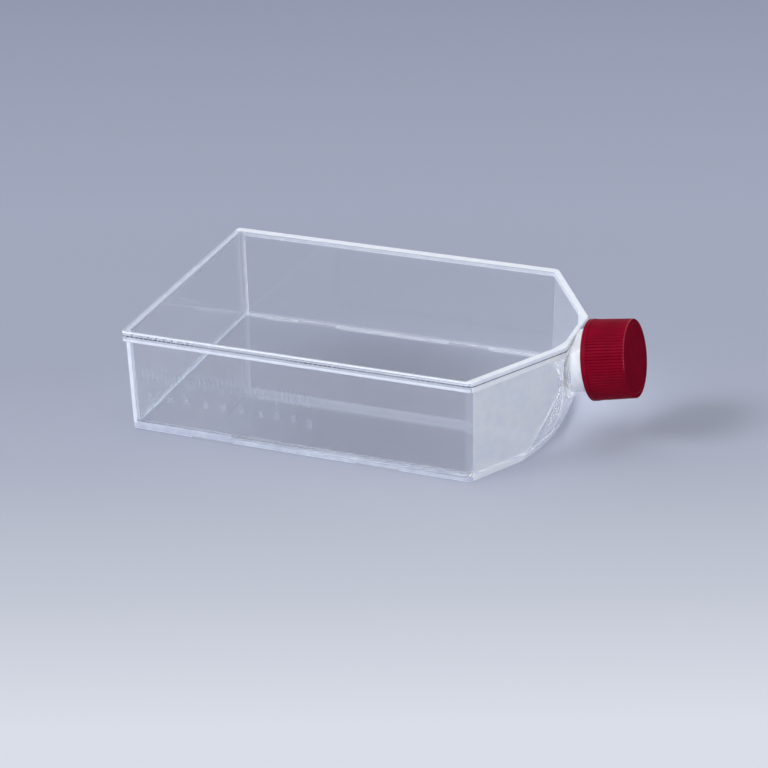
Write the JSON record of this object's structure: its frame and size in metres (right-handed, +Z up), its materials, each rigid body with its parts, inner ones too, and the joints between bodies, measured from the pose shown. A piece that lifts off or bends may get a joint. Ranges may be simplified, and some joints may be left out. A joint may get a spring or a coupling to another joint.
{
  "type": "cell culture flask",
  "caption": "Flat clear flask for growing cells, with sloped shoulders, a canted neck, a welded top plate and a ribbed red screw cap.",
  "frame": {"origin": "centre of the whole flask's box in plan, in the plane that the foot stands on", "axes": "+X along the flask towards the neck, +Z up from the growth surface to the top plate, +Y to the left as seen from the rear"},
  "size_m": [0.1972, 0.1154, 0.0505],
  "materials": {
    "clear_polystyrene": "clear, polished",
    "red_polyethylene": "satin moulded",
    "white_liner": "soft foam"
  },
  "bodies": {
    "flask": {"flask_body": "clear_polystyrene", "top_plate": "clear_polystyrene"},
    "liner": {"cap_liner": "white_liner"},
    "cap": {"screw_cap": "red_polyethylene"}
  },
  "joints": [
    {"name": "cap_lift", "type": "slide", "parent": "flask", "child": "liner", "axis": [0.9816, 0, 0.1908], "range_m": [0, 0.015]},
    {"name": "cap_turn", "type": "hinge", "parent": "liner", "child": "cap", "pos_m": [0.09293, 0, 0.03469], "axis": [0.9816, 0, 0.1908], "range_deg": [0, 720]}
  ],
  "couplings": [
    {"joint": "cap_turn", "follows": "cap_lift", "rad_per_m": 837.76}
  ]
}
